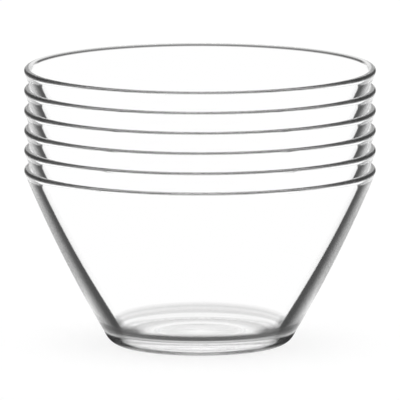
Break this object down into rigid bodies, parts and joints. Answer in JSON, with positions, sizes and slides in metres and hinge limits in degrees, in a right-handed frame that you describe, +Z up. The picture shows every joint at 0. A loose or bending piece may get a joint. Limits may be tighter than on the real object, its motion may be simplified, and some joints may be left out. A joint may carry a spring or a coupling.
{
  "type": "nest of serving bowls",
  "caption": "Nest of clear pressed-glass serving bowls with straight flared walls, rounded rims and thick bases, each one lifting out of the one below.",
  "frame": {"origin": "centre of the plane that the bottom bowl's bearing ring stands on", "axes": "+Z up along the nest's axis of revolution; every bowl is round, so +X and +Y are any two directions square to it"},
  "size_m": [0.12, 0.12, 0.0954],
  "materials": {
    "clear_glass": "clear, fire-polished, smooth on both faces"
  },
  "bodies": {
    "bottom_bowl": {"bottom_bowl": "clear_glass"},
    "second_bowl": {"second_bowl": "clear_glass"},
    "third_bowl": {"third_bowl": "clear_glass"},
    "fourth_bowl": {"fourth_bowl": "clear_glass"},
    "fifth_bowl": {"fifth_bowl": "clear_glass"},
    "top_bowl": {"top_bowl": "clear_glass"}
  },
  "joints": [
    {"name": "second_bowl_lift", "type": "slide", "parent": "bottom_bowl", "child": "second_bowl", "axis": [0, 0, 1], "range_m": [0, 0.06]},
    {"name": "third_bowl_lift", "type": "slide", "parent": "second_bowl", "child": "third_bowl", "axis": [0, 0, 1], "range_m": [0, 0.06]},
    {"name": "fourth_bowl_lift", "type": "slide", "parent": "third_bowl", "child": "fourth_bowl", "axis": [0, 0, 1], "range_m": [0, 0.06]},
    {"name": "fifth_bowl_lift", "type": "slide", "parent": "fourth_bowl", "child": "fifth_bowl", "axis": [0, 0, 1], "range_m": [0, 0.06]},
    {"name": "top_bowl_lift", "type": "slide", "parent": "fifth_bowl", "child": "top_bowl", "axis": [0, 0, 1], "range_m": [0, 0.06]}
  ]
}
